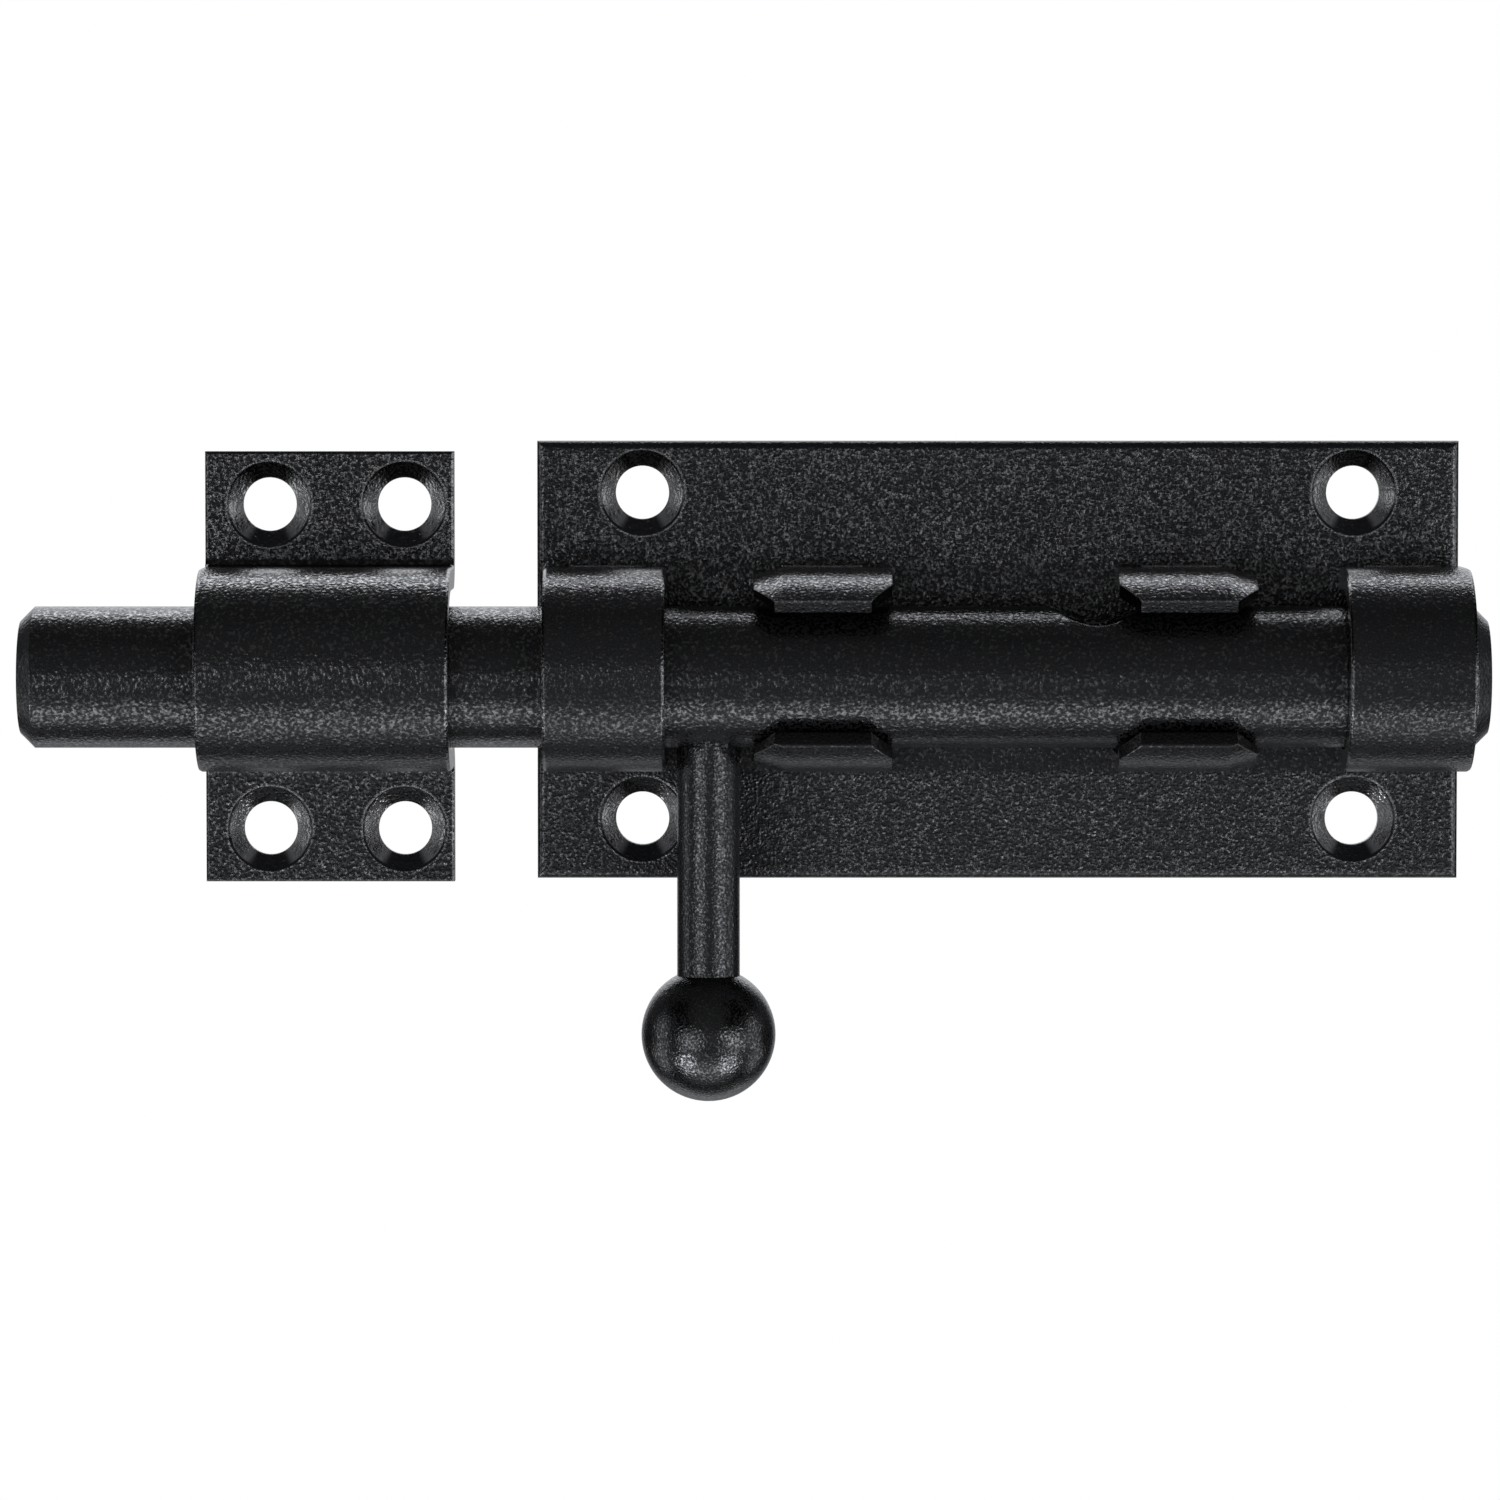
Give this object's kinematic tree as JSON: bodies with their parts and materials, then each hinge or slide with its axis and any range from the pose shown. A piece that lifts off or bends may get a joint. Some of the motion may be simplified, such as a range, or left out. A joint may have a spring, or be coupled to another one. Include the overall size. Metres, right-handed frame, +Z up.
{
  "type": "sliding round door bolt with keeper",
  "caption": "Round bar sliding through arched straps on a flat plate, with hooked stop lugs, a ball handle that hangs down to lock, and a bent keeper for the frame.",
  "frame": {"origin": "middle of the main plate's four screw holes, on the back face that lies on the door", "axes": "+X along the bar from its nose to its tail, -Y out from the door towards the viewer, +Z up; the handle hangs along -Z"},
  "size_m": [0.1657, 0.023, 0.0747],
  "materials": {
    "black_coat": "fine-textured black powder coat, half matte"
  },
  "bodies": {
    "base": {"base_plate": "black_coat", "front_strap": "black_coat", "rear_strap": "black_coat", "front_lug_upper": "black_coat", "front_lug_lower": "black_coat", "rear_lug_upper": "black_coat", "rear_lug_lower": "black_coat", "keeper": "black_coat"},
    "bolt": {"bar": "black_coat"},
    "handle": {"handle_rod": "black_coat", "handle_ball": "black_coat"}
  },
  "joints": [
    {"name": "bolt_slide", "type": "slide", "parent": "base", "child": "bolt", "axis": [1, 0, 0], "range_m": [-0.0011, 0.0013]},
    {"name": "handle_swing", "type": "hinge", "parent": "bolt", "child": "handle", "pos_m": [-0.033, -0.0115, -0.00205], "axis": [-1, 0, 0], "range_deg": [-5, 185]}
  ]
}
